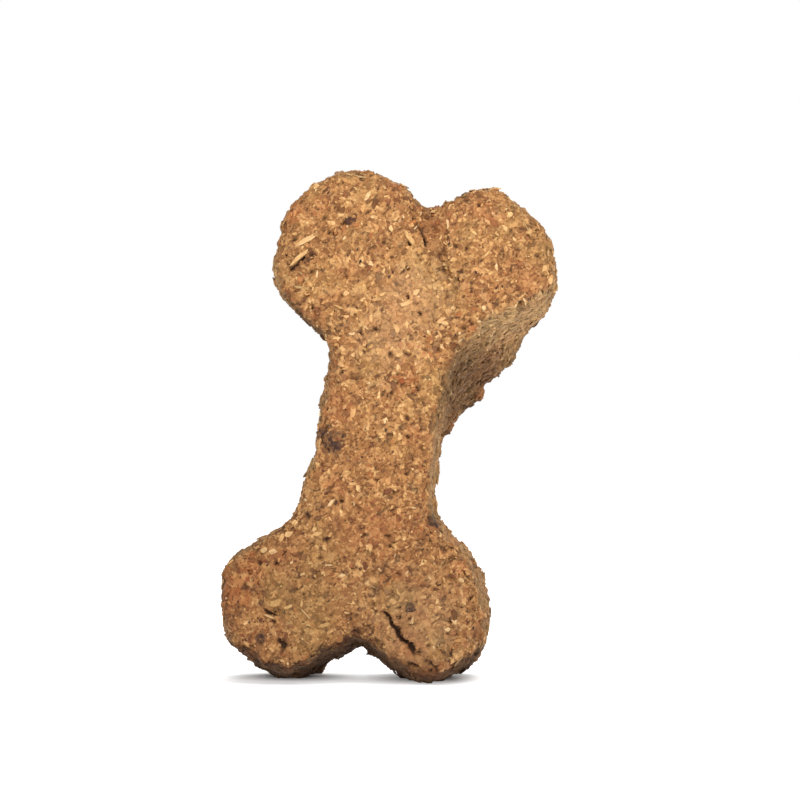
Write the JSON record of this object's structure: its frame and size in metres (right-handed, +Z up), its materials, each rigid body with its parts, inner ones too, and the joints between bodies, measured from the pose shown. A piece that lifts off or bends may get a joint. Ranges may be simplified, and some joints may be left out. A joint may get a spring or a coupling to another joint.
{
  "type": "dog biscuit",
  "caption": "Bone-shaped baked dog biscuit of coarse pressed bran dough, standing upright on its two lower knobs.",
  "frame": {"origin": "centre of the bounding box at its base, on the surface that the biscuit stands on", "axes": "+X across the front to the viewer's right, +Y from the front to the back, +Z up"},
  "size_m": [0.0402, 0.0247, 0.0607],
  "materials": {
    "baked_bran_dough": "matt baked crumb of pressed bran flakes, light tan-brown"
  },
  "bodies": {
    "root": {"biscuit": "baked_bran_dough"}
  },
  "joints": []
}
